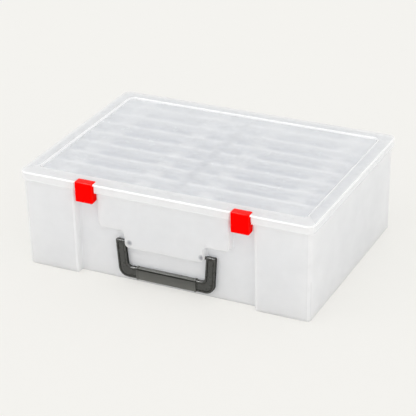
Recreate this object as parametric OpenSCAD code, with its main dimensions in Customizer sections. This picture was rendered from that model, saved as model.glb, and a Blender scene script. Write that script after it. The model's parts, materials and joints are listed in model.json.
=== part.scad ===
// Carrying case with sixteen clear inner cases: a translucent moulded body and a
// hinged lid, two snap latches and a swing handle on the front, and two columns of
// eight inner cases that stand on edge inside.
// Frame: +Z up, the front faces -Y, the origin is at the centre of the base.

/* [Inner cases] */
// Width of one inner case, along X
case_w = 178; // [160:0.5:200]
// Height of one inner case as it stands
case_h = 118; // [100:0.5:140]
// Thickness of one closed inner case, along Y
case_t = 30; // [26:0.5:36]
// Thickness of the cover half of an inner case
cover_t = 11; // [8:0.5:14]
// Wall of an inner case
case_wall = 1.4; // [1:0.1:2]
// Corner radius of an inner case
case_corner_r = 4; // [3:0.5:8]
// Length of the finger well in the middle of the top edge
well_w = 80; // [60:1:95]
// Length of the two short wells near the ends of the top edge
end_well_w = 22; // [12:1:26]
// Distance from the middle of a case to the middle of a short well
end_well_x = 73; // [66:0.5:74]
// Reach of the wells back from the parting line
well_reach = 12; // [8:0.5:14]
// Depth of the wells
well_depth = 5; // [3:0.5:8]

/* [Fit of the inner cases] */
// Gap between the two columns of inner cases
col_gap = 6; // [3:0.5:12]
// Gap between neighbours in a column
row_gap = 1; // [0.5:0.1:3]
// Gap between a column and the side wall, at the floor
side_gap = 3; // [1:0.5:8]
// Gap between the first and last case and the end walls, at the floor
end_gap = 2.7; // [1:0.1:8]
// Gap between the inner cases and the lid panel
head_gap = 1.5; // [0.5:0.1:6]

/* [Body] */
// Wall of the body
wall = 2; // [1.6:0.1:2.8]
// Floor thickness
floor_t = 2.2; // [1.6:0.1:4]
// Inward lean of each outer wall between the rim and the floor
draft = 1.4; // [0.5:0.1:3]
// Radius of the vertical corners
corner_r = 6.5; // [5:0.5:14]

/* [Front panel] */
// Width of the recess between the two front corner blocks
recess_w = 234.2; // [222:0.5:250]
// Depth of that recess
recess_depth = 11; // [10.5:0.5:15]
// Width across the wings of the T-shaped raised panel
wing_w = 171; // [164:0.5:180]
// Height of the lower edge of the wings
wing_z = 71; // [66:0.5:90]
// Width of the handle boss, the stem of the T
boss_w = 103; // [90:0.5:112]
// Height of the lower edge of the handle boss
boss_z = 49.5; // [44:0.5:51]
// Corner radius of the raised panel
panel_r = 5; // [3:0.5:8]

/* [Lid] */
// Overhang of the lid beyond the body on each side
lid_overhang = 3.1; // [2.8:0.1:5]
// Thickness of the lid border
lid_t = 1.8; // [1.4:0.1:3]
// Height of the lid skirt
skirt_h = 10.8; // [9:0.2:14]
// Thickness of the lid skirt
skirt_t = 2; // [1.4:0.1:2.2]
// Width of the flat border at the sides and at the back
border_w = 17.5; // [12:0.5:24]
// Width of the flat border at the front
border_front_w = 21.5; // [16:0.5:28]
// Drop of the see-through panel below the border
panel_drop = 2.5; // [1.5:0.1:5]
// Thickness of the see-through panel
panel_t = 1.8; // [1.4:0.1:3]
// Corner radius of the see-through panel
window_r = 6; // [4:0.5:16]

/* [Latches] */
// Width of a latch
latch_w = 23.4; // [18:0.2:25]
// Height of a latch
latch_h = 26.4; // [24:0.2:27]
// Rise of the latch above the lid
latch_rise = 0.6; // [0:0.1:1.5]
// Distance of the latch face in front of the lid
latch_proud = 0.8; // [0.2:0.1:2]
// Thickness of the latch plate
plate_t = 5; // [3.5:0.1:5.2]
// Thickness of the top return
return_t = 2.2; // [1.6:0.1:3]
// Reach of the top return, from the latch face
return_reach = 10.5; // [7:0.5:11]
// Diameter of the barrel that holds the pivot
barrel_d = 11; // [10:0.2:12]
// Thickness of the cheeks on either side of the body lug
cheek_t = 3; // [2.4:0.1:4]
// Corner radius of the latch face
latch_r = 2; // [1:0.1:2.4]
// Diameter of the latch pin
latch_pin_d = 3; // [2:0.1:3.4]
// Thickness of the round body lug that carries the latch pin
lug_d = 5.6; // [5:0.1:6.2]

/* [Handle] */
// Height of the handle pivot
handle_z = 53.8; // [53.7:0.1:58]
// Width of a handle arm
arm_w = 12.5; // [9:0.5:15]
// Thickness of the handle, along Y
handle_t = 5; // [4.4:0.1:7]
// Height of the cross bar
bar_h = 14.8; // [11:0.1:17]
// Height of the underside of the cross bar
bar_z = 7.2; // [5:0.1:11]
// Inward lean of each arm between its top and the cross bar
arm_lean = 2.5; // [0:0.1:3]
// Outer radius of the handle's bends
bend_r = 12; // [8:0.5:14]
// Inner radius of the handle's bends
bend_inner_r = 5; // [3:0.5:7]
// Rise of the arms above the pivot
arm_rise = 2.3; // [2.2:0.1:2.6]
// Gap between an arm and the boss
handle_gap = 2; // [1.2:0.1:3]
// Diameter of the handle pins
handle_pin_d = 4; // [3:0.1:4.1]
// Reach of a handle pin inwards from its arm
handle_pin_l = 8.6; // [6:0.2:12]
// Length of the grip sleeve
grip_w = 79; // [60:0.2:84]
// Wall of the grip sleeve
grip_wall = 0.8; // [0.7:0.1:1.6]

/* [Hinges] */
// Distance of the middle of each hinge from the end of the body
hinge_inset = 77.4; // [50:0.2:120]
// Width of the lid knuckle
knuckle_w = 30; // [20:1:50]
// Width of each body ear
ear_w = 7; // [5:0.5:12]
// Height of the body ears on the back wall
ear_h = 12; // [8:0.5:20]
// Diameter of the knuckles
hinge_d = 7.2; // [6:0.1:9]
// Diameter of the hinge pins
hinge_pin_d = 3; // [2:0.1:4]

/* [Clearances] */
// Gap between a latch, a hinge or a knuckle and what it moves past
move_gap = 0.4; // [0.3:0.05:0.7]
// Free space in the lid and in the body rim on each side of a latch
notch_gap = 2.2; // [1:0.1:2.6]
// Radial running clearance of a pin in the piece that turns on it
run_gap = 0.06; // [0.02:0.01:0.1]
// Radial clearance of a pin in the piece that holds it
hold_gap = 0.01; // [0:0.01:0.02]
// Gap between the grip and the floor of the front recess
grip_gap = 0.4; // [0.3:0.1:0.8]

/* [Hidden] */
CASE_COLS = 2;
CASE_ROWS = 8;
CASES = CASE_COLS * CASE_ROWS;
SIDES = [[-1, "left"], [1, "right"]];

// Overlap with which a cut runs past a face, and the thickness of a hull's slabs
CUT = 1;
SLAB = 0.01;
$fn = 64;
HULL_FN = 32;

// Inside of the body at its floor, sized by the cases and the gaps around them
inner_w = CASE_COLS * case_w + (CASE_COLS - 1) * col_gap + 2 * side_gap;
inner_d = CASE_ROWS * case_t + (CASE_ROWS - 1) * row_gap + 2 * end_gap;

// Outside of the body at its rim
body_w = inner_w + 2 * wall + 2 * draft;
body_d = inner_d + 2 * wall + recess_depth + draft;
front_y = -body_d / 2;
back_y = body_d / 2;
recess_y = front_y + recess_depth;
wall_in_y = recess_y + wall;

// Levels
case_top_z = floor_t + case_h;
panel_z = case_top_z + head_gap + panel_t;
lid_z = panel_z + panel_drop;
rim_z = lid_z - lid_t;
skirt_z = lid_z - skirt_h;

// Lid
lid_w = body_w + 2 * lid_overhang;
lid_d = body_d + 2 * lid_overhang;
lid_r = corner_r + lid_overhang;
window_w = lid_w - 2 * border_w;
window_d = lid_d - border_w - border_front_w;
window_y = (border_front_w - border_w) / 2;

// Latches: the pivot is the origin of a latch's own frame
latch_x = (wing_w + recess_w) / 4;
latch_front_y = -lid_d / 2 - latch_proud;
latch_pivot_y = latch_front_y + barrel_d / 2;
latch_pivot_z = skirt_z - move_gap - barrel_d / 2;
latch_top = lid_z + latch_rise - latch_pivot_z;
latch_bottom = latch_top - latch_h;
latch_face = -barrel_d / 2;
heel_r = recess_y - latch_pivot_y - move_gap;
lug_w = latch_w - 2 * cheek_t - 2 * move_gap;
lug_room = lug_d / 2 + move_gap;
latch_pin_l = lug_w + 2 * move_gap + cheek_t;
pocket_y = latch_front_y + plate_t + move_gap;
pocket_w = latch_w + 2 * notch_gap;

// Handle: the grip hangs just in front of the recess floor
grip_t = handle_t + 2 * grip_wall;
grip_h = bar_h + 2 * grip_wall;
handle_y = recess_y - grip_gap - grip_t / 2;
arm_in_x = boss_w / 2 + handle_gap;
arm_out_x = arm_in_x + arm_w;
bar_top_z = bar_z + bar_h;
arm_top_z = handle_z + arm_rise;

// Hinges
hinge_x = body_w / 2 - hinge_inset;
hinge_r = hinge_d / 2;
hinge_y = lid_d / 2 + move_gap + hinge_r;
hinge_z = skirt_z;
ear_x = (knuckle_w + ear_w) / 2 + move_gap;
hinge_pin_l = knuckle_w + 2 * ear_w + 2 * move_gap;

// Inner cases
cases_d = CASE_ROWS * case_t + (CASE_ROWS - 1) * row_gap;
cases_front_y = wall_in_y + end_gap;
tray_t = case_t - cover_t;
WELLS = [[-end_well_x, end_well_w], [0, well_w], [end_well_x, end_well_w]];

function two_digits(n) = str(n < 10 ? "0" : "", n);
function tray_name(i) = str("case_tray_", two_digits(i + 1));
function cover_name(i) = str("case_cover_", two_digits(i + 1));
function case_x(i) = ((i % CASE_COLS) - (CASE_COLS - 1) / 2) * (case_w + col_gap);
function case_y(i) = cases_front_y + floor(i / CASE_COLS) * (case_t + row_gap) + cover_t;

// ---- shared shapes ----

// Rectangle with round corners, as two bars and four discs
module round_rect(w, d, r) {
    square([w - 2 * r, d], center = true);
    square([w, d - 2 * r], center = true);
    for (sx = [-1, 1], sy = [-1, 1])
        translate([sx * (w / 2 - r), sy * (d / 2 - r)]) circle(r);
}

// Extrude a side view (Y to the right, Z up) along X, centred on x = 0
module along_x(w) {
    rotate([90, 0, 90]) linear_extrude(height = w, center = true) children();
}

// Extrude a front view (X to the right, Z up) along Y, from y0 to y1
module along_y(y0, y1) {
    translate([0, y1, 0]) rotate([90, 0, 0]) linear_extrude(height = y1 - y0) children();
}

// Round bar along X, centred on x = 0
module bar_x(d, l) {
    rotate([0, 90, 0]) cylinder(d = d, h = l, center = true);
}

// Block between two corners
module block(low, high) {
    translate(low) cube(high - low);
}

// ---- body ----

// Drafted outline of the body, set in by a distance, between two heights
module tub(inset, z0, z1) {
    hull() {
        translate([0, 0, min(z1, rim_z) - SLAB])
            linear_extrude(height = z1 - min(z1, rim_z) + SLAB)
                round_rect(body_w - 2 * inset, body_d - 2 * inset, corner_r - inset, $fn = HULL_FN);
        translate([0, 0, z0])
            linear_extrude(height = SLAB)
                round_rect(body_w - 2 * (inset + draft), body_d - 2 * (inset + draft),
                    corner_r - inset, $fn = HULL_FN);
    }
}

// The T of wings and handle boss, in front view, grown by a distance
module tee_outline(grow) {
    wing_h = rim_z - wing_z + 2 * panel_r;
    translate([0, wing_z + wing_h / 2])
        round_rect(wing_w + 2 * grow, wing_h + 2 * grow, panel_r + grow);
    boss_h = wing_z - boss_z + 2 * panel_r;
    translate([0, boss_z + boss_h / 2])
        round_rect(boss_w + 2 * grow, boss_h + 2 * grow, panel_r + grow);
}

// The recess around the T. With grow it also takes in the wall behind it.
module recess(grow) {
    difference() {
        block([-recess_w / 2 - grow, front_y - recess_depth, -CUT],
            [recess_w / 2 + grow, recess_y + grow, skirt_z + grow]);
        along_y(front_y - recess_depth - CUT, recess_y + grow + CUT) tee_outline(-grow);
    }
}

// Pocket in the front of the rim, where the latch plate lies
module latch_pocket(grow) {
    block([-pocket_w / 2 - grow, front_y - (grow > 0 ? 0 : CUT), skirt_z - (grow > 0 ? 0 : CUT)],
        [pocket_w / 2 + grow, pocket_y + grow, rim_z + (grow > 0 ? 0 : CUT)]);
}

// Lug that carries the latch pin, in the latch's frame
module latch_lug() {
    bar_x(lug_d, lug_w);
    block([-lug_w / 2, 0, -lug_d / 2], [lug_w / 2, recess_y - latch_pivot_y + wall / 2, lug_d / 2]);
}

// Side view of a body ear, in the body's frame
module ear_outline() {
    ear_top = skirt_z - move_gap;
    toe = hinge_r * cos(45);
    translate([hinge_y, hinge_z]) circle(hinge_r);
    polygon([
        [back_y - wall / 2, ear_top - ear_h],
        [back_y - wall / 2, ear_top],
        [hinge_y, ear_top],
        [hinge_y + toe, hinge_z - toe]]);
}

module body() {
    color([0.90, 0.92, 0.94, 0.55])
    difference() {
        union() {
            difference() {
                tub(0, 0, rim_z);
                recess(0);
                difference() {
                    tub(wall, floor_t, rim_z + CUT);
                    recess(wall);
                }
            }
            for (side = [-1, 1]) {
                translate([side * latch_x, 0, 0]) latch_pocket(wall);
                translate([side * latch_x, latch_pivot_y, latch_pivot_z]) latch_lug();
                for (ear = [-1, 1])
                    translate([side * hinge_x + ear * ear_x, 0, 0]) along_x(ear_w) ear_outline();
            }
        }
        for (side = [-1, 1]) {
            translate([side * latch_x, 0, 0]) latch_pocket(0);
            translate([side * latch_x, latch_pivot_y, latch_pivot_z])
                bar_x(latch_pin_d + 2 * run_gap, lug_w + 2 * CUT);
            translate([side * hinge_x, hinge_y, hinge_z])
                bar_x(hinge_pin_d + 2 * hold_gap, hinge_pin_l + 2 * CUT);
            translate([side * boss_w / 2, handle_y, handle_z])
                bar_x(handle_pin_d + 2 * run_gap, 2 * panel_r);
        }
    }
}

// ---- lid ----

// Flat block with round corners, the size of the window grown by a distance
module window_block(grow, z0, z1) {
    translate([0, window_y, z0]) linear_extrude(height = z1 - z0)
        round_rect(window_w + 2 * grow, window_d + 2 * grow, window_r + grow);
}

// Room in the lid for a closed latch: a slot under the return, and a wider one in the skirt
module latch_notch() {
    return_w = latch_w + 2 * move_gap;
    block([-return_w / 2, -lid_d / 2 - CUT, skirt_z - CUT],
        [return_w / 2, latch_front_y + return_reach + move_gap, lid_z + CUT]);
    block([-pocket_w / 2, -lid_d / 2 - CUT, skirt_z - CUT],
        [pocket_w / 2, -lid_d / 2 + skirt_t + move_gap, rim_z]);
}

// Knuckle of the lid, with the web that joins it to the skirt
module lid_knuckle() {
    translate([0, hinge_y, hinge_z]) bar_x(hinge_d, knuckle_w);
    block([-knuckle_w / 2, lid_d / 2 - skirt_t / 2, hinge_z],
        [knuckle_w / 2, hinge_y, hinge_z + hinge_r]);
}

module lid() {
    color([0.93, 0.95, 0.97, 0.45])
    difference() {
        union() {
            difference() {
                translate([0, 0, skirt_z]) linear_extrude(height = skirt_h)
                    round_rect(lid_w, lid_d, lid_r);
                translate([0, 0, skirt_z - CUT]) linear_extrude(height = skirt_h - lid_t + CUT)
                    round_rect(lid_w - 2 * skirt_t, lid_d - 2 * skirt_t, lid_r - skirt_t);
            }
            window_block(lid_t, panel_z - panel_t, rim_z + lid_t / 2);
            for (side = [-1, 1]) translate([side * hinge_x, 0, 0]) lid_knuckle();
        }
        window_block(0, panel_z, lid_z + CUT);
        for (side = [-1, 1]) {
            translate([side * latch_x, 0, 0]) latch_notch();
            translate([side * hinge_x, hinge_y, hinge_z])
                bar_x(hinge_pin_d + 2 * run_gap, knuckle_w + 2 * CUT);
        }
    }
}

// ---- latches, in their own frame ----

// Side view: plate, top return, pivot barrel, and heel that swings clear of the recess floor
module latch_outline() {
    edge_r = return_t / 2;
    circle(d = barrel_d);
    intersection() {
        circle(r = heel_r);
        translate([latch_face + plate_t / 2, latch_bottom])
            square([barrel_d - plate_t / 2, -latch_bottom]);
    }
    translate([latch_face + plate_t / 2, (latch_top + latch_bottom) / 2])
        round_rect(plate_t, latch_h, latch_r);
    translate([latch_face + return_reach / 2, latch_top - return_t / 2])
        round_rect(return_reach, return_t, edge_r - SLAB);
}

module latch() {
    slot_w = lug_w + 2 * move_gap;
    difference() {
        intersection() {
            along_x(latch_w) latch_outline();
            along_y(-barrel_d, barrel_d)
                translate([0, (latch_top + latch_bottom) / 2]) round_rect(latch_w, latch_h, latch_r);
        }
        bar_x(2 * lug_room, slot_w);
        block([-slot_w / 2, -lug_room, latch_bottom - CUT], [slot_w / 2, barrel_d, 0]);
        block([-slot_w / 2, 0, -CUT], [slot_w / 2, barrel_d, lug_room]);
        bar_x(latch_pin_d + 2 * hold_gap, latch_pin_l);
    }
}

module latch_part(side) {
    color([0.9, 0.06, 0.02])
    translate([side * latch_x, latch_pivot_y, latch_pivot_z]) latch();
}

module latch_pin(side) {
    color([0.7, 0.7, 0.72])
    translate([side * latch_x, latch_pivot_y, latch_pivot_z]) bar_x(latch_pin_d, latch_pin_l);
}

// ---- handle ----

// Front view of the bail: outside less inside
module bail_outline() {
    tip_r = 1.5;
    foot_x = arm_out_x - arm_lean;
    difference() {
        hull() for (sx = [-1, 1]) {
            translate([sx * (foot_x - bend_r), bar_z + bend_r]) circle(bend_r);
            translate([sx * (arm_out_x - tip_r), arm_top_z - tip_r]) circle(tip_r);
        }
        hull() for (sx = [-1, 1]) {
            translate([sx * (foot_x - arm_w - bend_inner_r), bar_top_z + bend_inner_r])
                circle(bend_inner_r);
            translate([sx * (arm_in_x - tip_r), arm_top_z + tip_r]) circle(tip_r);
        }
    }
}

module handle_bail() {
    color([0.30, 0.30, 0.28]) {
        along_y(handle_y - handle_t / 2, handle_y + handle_t / 2) bail_outline();
        for (side = [-1, 1])
            translate([side * (arm_in_x - handle_pin_l / 2 + wall / 2), handle_y, handle_z])
                bar_x(handle_pin_d, handle_pin_l + wall);
    }
}

module handle_grip() {
    color([0.32, 0.32, 0.30])
    translate([0, handle_y, bar_z + bar_h / 2])
    difference() {
        along_x(grip_w) round_rect(grip_t, grip_h, grip_wall);
        cube([grip_w + 2 * CUT, handle_t, bar_h], center = true);
    }
}

// ---- hinge pins ----

module hinge_pin(side) {
    color([0.72, 0.72, 0.74])
    translate([side * hinge_x, hinge_y, hinge_z]) bar_x(hinge_pin_d, hinge_pin_l);
}

// ---- inner cases: the parting line is y = 0 of a case's own frame ----

// Open half with its mouth at y = 0 and its back at y = t
module case_half(t) {
    translate([0, 0, case_h / 2]) difference() {
        along_y(0, t) round_rect(case_w, case_h, case_corner_r);
        along_y(-CUT, t - case_wall)
            round_rect(case_w - 2 * case_wall, case_h - 2 * case_wall, case_corner_r - case_wall);
    }
}

module case_tray(i) {
    color([0.86, 0.89, 0.93, 0.5])
    translate([case_x(i), case_y(i), floor_t])
    difference() {
        union() {
            case_half(tray_t);
            for (well = WELLS)
                block([well[0] - well[1] / 2 - case_wall, 0, case_h - well_depth - case_wall],
                    [well[0] + well[1] / 2 + case_wall, well_reach + case_wall,
                     case_h - case_wall / 2]);
        }
        for (well = WELLS)
            block([well[0] - well[1] / 2, -CUT, case_h - well_depth],
                [well[0] + well[1] / 2, well_reach, case_h + CUT]);
    }
}

module case_cover(i) {
    color([0.90, 0.92, 0.95, 0.5])
    translate([case_x(i), case_y(i), floor_t]) {
        mirror([0, 1, 0]) case_half(cover_t);
        for (well = WELLS)
            block([well[0] - well[1] / 2 - case_wall, -case_wall, case_h - well_depth - case_wall],
                [well[0] + well[1] / 2 + case_wall, 0, case_h - case_wall / 2]);
    }
}

// ---- nodes ----

body();
lid();
handle_bail();
handle_grip();
for (side = SIDES) {
    latch_part(side[0]);
    latch_pin(side[0]);
    hinge_pin(side[0]);
}
for (i = [0 : CASES - 1]) {
    case_tray(i);
    case_cover(i);
}
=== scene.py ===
import json
import math

import bpy
import bmesh
from mathutils import Matrix, Vector


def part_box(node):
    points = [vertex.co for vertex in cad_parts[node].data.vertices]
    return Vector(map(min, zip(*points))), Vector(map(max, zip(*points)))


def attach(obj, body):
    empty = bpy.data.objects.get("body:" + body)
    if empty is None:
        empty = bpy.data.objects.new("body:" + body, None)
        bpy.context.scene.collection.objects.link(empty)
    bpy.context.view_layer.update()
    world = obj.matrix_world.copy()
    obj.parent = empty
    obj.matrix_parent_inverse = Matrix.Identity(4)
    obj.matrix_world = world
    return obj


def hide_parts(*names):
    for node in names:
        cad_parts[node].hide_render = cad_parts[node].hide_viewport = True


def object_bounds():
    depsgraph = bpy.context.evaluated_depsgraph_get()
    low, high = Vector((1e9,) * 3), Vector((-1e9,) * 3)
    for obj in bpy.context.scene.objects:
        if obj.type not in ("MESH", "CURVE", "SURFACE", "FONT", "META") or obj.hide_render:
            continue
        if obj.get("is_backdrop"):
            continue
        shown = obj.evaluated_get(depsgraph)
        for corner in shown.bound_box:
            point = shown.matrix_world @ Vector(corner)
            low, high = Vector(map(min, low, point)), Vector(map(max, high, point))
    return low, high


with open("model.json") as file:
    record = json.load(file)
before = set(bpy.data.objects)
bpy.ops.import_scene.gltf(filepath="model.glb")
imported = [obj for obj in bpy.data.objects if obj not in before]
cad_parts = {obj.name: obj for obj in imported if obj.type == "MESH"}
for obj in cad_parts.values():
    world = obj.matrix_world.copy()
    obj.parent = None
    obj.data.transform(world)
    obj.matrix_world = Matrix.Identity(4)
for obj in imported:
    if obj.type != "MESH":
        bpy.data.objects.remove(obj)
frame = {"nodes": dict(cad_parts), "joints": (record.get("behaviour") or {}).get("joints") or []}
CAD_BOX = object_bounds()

# A translucent carrying case with sixteen clear inner cases, two red latches and a grey handle.
# Sizes are in millimetres and become metres when a mesh is made: +Z is up, the front faces -Y.
MM = 0.001


def box_mm(node):
    """Lowest and highest corner of a CAD node, in millimetres."""
    low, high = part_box(node)
    return low / MM, high / MM


def joint_mm(name):
    """The point that a joint turns about, in millimetres."""
    found = next(j for j in frame["joints"] if j["name"] == name)
    return Vector(found["pos_m"]) / MM


# ---- sizes: the outer ones come from the frame, the others are details of the pieces ----

LID_LOW, LID_HIGH = box_mm("lid")
BODY_LOW, BODY_HIGH = box_mm("body")
LATCH_LOW, LATCH_HIGH = box_mm("latch_right")
BAIL_LOW, BAIL_HIGH = box_mm("handle_bail")
GRIP_LOW, GRIP_HIGH = box_mm("handle_grip")
TRAY_LOW, TRAY_HIGH = box_mm("case_tray_01")
COVER_LOW, COVER_HIGH = box_mm("case_cover_01")
LATCH_PIVOT = joint_mm("latch_right_pivot")
HANDLE_PIVOT = joint_mm("handle_swing")
HINGE = joint_mm("lid_hinge")

# Overall, and shared by the tub and the lid
WALL = 2.0
FLOOR_T = 2.2
DRAFT = 1.4
CORNER_R = 6.5
CORNER_STEPS = 8
FOOT_R = 3.0
RIM_R = 0.5
RIM_CUT = 0.15
LID_OVERHANG = 3.1
BODY_HALF_W = BODY_HIGH.x
LID_HALF_W = LID_HIGH.x
LID_HALF_D = -LID_LOW.y
BODY_HALF_D = LID_HALF_D - LID_OVERHANG
RIM_Z = BODY_HIGH.z
LID_Z = LID_HIGH.z
SKIRT_Z = HINGE.z

# Front of the tub: the recess, the raised T, and the steps between them
RECESS_DEPTH = 11.0
RECESS_HALF_W = 117.1
RECESS_Y = -BODY_HALF_D + RECESS_DEPTH
WING_HALF_W = 85.5
WING_Z = 71.0
BOSS_HALF_W = 51.5
BOSS_Z = 49.5
PANEL_R = 5.0
TEE_BLEND = 7.0
RECESS_BLEND = 5.0
MEETING_BLEND = 2.0
STEP_RUN = 0.8
STEP_EDGE_R = 1.1
STEP_FOOT_R = 2.4
# Width of the painted highlight strip beside each end of the recess
HIGHLIGHT_STRIP = 3.0

# Lid: flat border, skirt with a lip, bead on the outer edge, and a dropped panel
LID_T = 1.8
SKIRT_T = 2.0
LID_EDGE_R = 1.5
BORDER_W = 17.5
BORDER_FRONT_W = 21.5
WINDOW_R = 6.0
PANEL_DROP = 2.5
PANEL_Z = LID_Z - PANEL_DROP
SKIRT_LIP_H = 2.2
LID_BEAD_H = 2.0
LID_BEAD_T = 0.45
WINDOW_LINE_W = 1.0
WINDOW_EDGE_R = 0.8
WINDOW_STEP_W = 0.4
UNDER_EDGE_R = 0.6
SKIRT_ROOT_R = 1.0
SKIRT_FOOT_R = 0.4

# Pins, bores, and the lugs and ears round them
BORE_GAP = 0.12
PRESS_GAP = 0.02
EYE_EDGE_R = 0.4
LATCH_PIN_D = 3.0
LUG_D = 5.6
LUG_BORE_REACH = 12.0
HINGE_PIN_D = 3.0
HINGE_BORE_REACH = 26.0
HINGE_D = 7.2
HINGE_X = 110.0
KNUCKLE_W = 30.0
EAR_W = 7.0
EAR_H = 12.0
HANDLE_PIN_D = 4.0

# Latches
LATCH_GAP = 0.4
LATCH_SIDE_GAP = 2.2
PLATE_T = 5.0
RETURN_T = 2.2
RETURN_REACH = 10.5
CHEEK_T = 3.0
LATCH_HALF_W = (LATCH_HIGH.x - LATCH_LOW.x) / 2
LUG_HALF_W = LATCH_HALF_W - CHEEK_T - LATCH_GAP
POCKET_HALF_W = LATCH_HALF_W + LATCH_SIDE_GAP
POCKET_Y = LATCH_LOW.y + PLATE_T + LATCH_GAP

# Handle. Its groove is (inset, depth) across the bail, and (depth, distance down) across the grip;
# the end of the grip is (inset, distance from the end).
BAR_H = 14.8
BAIL_FOOT_X = 62.7
BAIL_TOP_X = 66.1
BAIL_IN_TOP_X = 53.4
BAIL_IN_FOOT_X = 50.6
BAIL_PIN_IN_X = 44.9
GROOVE_DEEP = 0.9
BAIL_GROOVE = [(2.2, 0.0), (2.4, 0.1), (2.5, GROOVE_DEEP), (3.1, GROOVE_DEEP), (3.3, 0.6), (4.2, 0.5)]
GRIP_GROOVE = [(0.0, 2.0), (0.6, 2.4), (0.6, 3.2), (0.0, 4.4)]
GRIP_END = [(0.5, 0.0), (0.12, 0.12), (0.0, 0.5), (0.0, 2.0), (0.08, 2.25), (0.35, 2.5), (0.45, 2.9)]

# Inner cases. A well is (middle, length) along the top edge.
CASES = 16
CASE_HALF_W = (TRAY_HIGH.x - TRAY_LOW.x) / 2
CASE_H = TRAY_HIGH.z - TRAY_LOW.z
TRAY_T = TRAY_HIGH.y - TRAY_LOW.y
COVER_T = COVER_HIGH.y - COVER_LOW.y
CASE_WALL = 1.4
CASE_CORNER_R = 4.0
CASE_EDGE_R = 2.0
CASE_TOP_T = 1.0
RIM_BEAD_W = 2.2
RIM_BEAD_T = 0.5
WELL_DEPTH = 5.0
WELL_REACH = 12.0
WELLS = [(-73.0, 22.0), (0.0, 80.0), (73.0, 22.0)]

# Shading, and the limits by which a face is chosen for a material: parts of a normal, and a distance
SHARP_DEG = 35
FLAT = 0.9
NEARLY_FLAT = 0.97
SIDEWAYS = (0.4, 0.88)
ON_FACE = 0.3


# ---- outlines, lofts and pieces ----

def unit(v):
    return v / v.length


def outline(corners, radii, inset=0.0, steps=6):
    """Closed outline through sharp corners, moved inwards by inset, with each corner rounded.

    The corners run anticlockwise. With the same radii, every inset gives the same number of points,
    so two of them loft: one at a corner of radius 0, and steps + 1 at a round one.
    """
    count = len(corners)
    points = []
    for i, corner in enumerate(corners):
        before, here, after = Vector(corners[i - 1]), Vector(corner), Vector(corners[(i + 1) % count])
        d_in, d_out = unit(here - before), unit(after - here)
        left_in, left_out = Vector((-d_in.y, d_in.x)), Vector((-d_out.y, d_out.x))
        turn = d_in.x * d_out.y - d_in.y * d_out.x
        share = 1 + left_in.dot(left_out)
        corner_at = here + (left_in + left_out) * (inset / share)
        radius = radii[i] if isinstance(radii, (list, tuple)) else radii
        if radius == 0 or abs(turn) < 1e-6:
            points.append(corner_at)
            continue
        radius = max(radius - inset, 0.05) if turn > 0 else radius + inset
        angle = math.atan2(turn, d_in.dot(d_out))
        reach = radius * math.tan(abs(angle) / 2)
        start = corner_at - d_in * reach
        side = left_in if turn > 0 else -left_in
        centre = start + side * radius
        for k in range(steps + 1):
            spun = Matrix.Rotation(angle * k / steps, 2) @ (start - centre)
            points.append(centre + spun)
    return points


def rectangle(low, high):
    """Anticlockwise corners between two opposite corners."""
    return [(low[0], low[1]), (high[0], low[1]), (high[0], high[1]), (low[0], high[1])]


def arc_steps(radius, steps=5):
    """(set in, set back) pairs that round an edge: the face first, the side last."""
    turns = [math.pi / 2 * k / steps for k in range(steps + 1)]
    return [(radius * (1 - math.sin(t)), radius * (1 - math.cos(t))) for t in turns]


def loft(loops, wrap=False):
    """Vertices and faces of a skin through loops of equal length, closed at both ends."""
    count = len(loops[0])
    verts = [tuple(p) for loop in loops for p in loop]
    faces = []
    last = len(loops) if wrap else len(loops) - 1
    for a in range(last):
        b = (a + 1) % len(loops)
        for i in range(count):
            j = (i + 1) % count
            faces.append((a * count + i, a * count + j, b * count + j, b * count + i))
    if not wrap:
        faces.append(tuple(range(count))[::-1])
        faces.append(tuple((len(loops) - 1) * count + i for i in range(count)))
    return verts, faces


AXES = {
    "x": lambda p, t: (t, p[0], p[1]),
    "y": lambda p, t: (p[0], t, p[1]),
    "z": lambda p, t: (p[0], p[1], t),
}


def prism(corners, radii, axis, low, high, edge_r=0.0, steps=6, edge_steps=4):
    """Extruded outline with its two ends rounded by edge_r."""
    place = AXES[axis]
    levels = [(0.0, 0.0)] if edge_r == 0 else arc_steps(edge_r, edge_steps)
    loops = []
    for inset, back in levels:
        loops.append([place(p, low + back) for p in outline(corners, radii, inset, steps)])
    for inset, back in reversed(levels):
        loops.append([place(p, high - back) for p in outline(corners, radii, inset, steps)])
    return loft(loops)


def bar_x(diameter, x0, x1, y, z, chamfer=0.0, sides=32):
    """Round bar along X with chamfered ends."""
    loops = []
    for x, cut in ((x0, chamfer), (x0 + chamfer, 0), (x1 - chamfer, 0), (x1, chamfer)):
        if chamfer == 0 and loops and abs(loops[-1][0][0] - x) < 1e-6:
            continue
        r = diameter / 2 - cut
        turns = [2 * math.pi * k / sides for k in range(sides)]
        loops.append([(x, y + r * math.cos(t), z + r * math.sin(t)) for t in turns])
    return loft(loops)


def new_object(name, data):
    """An object of some data, linked to the scene."""
    obj = bpy.data.objects.new(name, data)
    bpy.context.scene.collection.objects.link(obj)
    return obj


def make_object(name, shape):
    """An object from vertices and faces in millimetres, with its normals outwards."""
    verts, faces = shape
    mesh = bpy.data.meshes.new(name)
    mesh.from_pydata([Vector(v) * MM for v in verts], [], faces)
    bm = bmesh.new()
    bm.from_mesh(mesh)
    bmesh.ops.recalc_face_normals(bm, faces=bm.faces)
    bm.to_mesh(mesh)
    bm.free()
    return new_object(name, mesh)


def combine(obj, shapes, operation):
    """Joins shapes to obj, or cuts them out of it."""
    for shape in shapes:
        tool = make_object("tool", shape)
        boolean = obj.modifiers.new("combine", "BOOLEAN")
        boolean.operation = operation
        boolean.solver = "MANIFOLD"
        boolean.object = tool
        bpy.context.view_layer.update()
        depsgraph = bpy.context.evaluated_depsgraph_get()
        mesh = bpy.data.meshes.new_from_object(obj.evaluated_get(depsgraph))
        mesh.materials.clear()
        obj.modifiers.clear()
        obj.data = mesh
        bpy.data.objects.remove(tool)
    return obj


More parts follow.
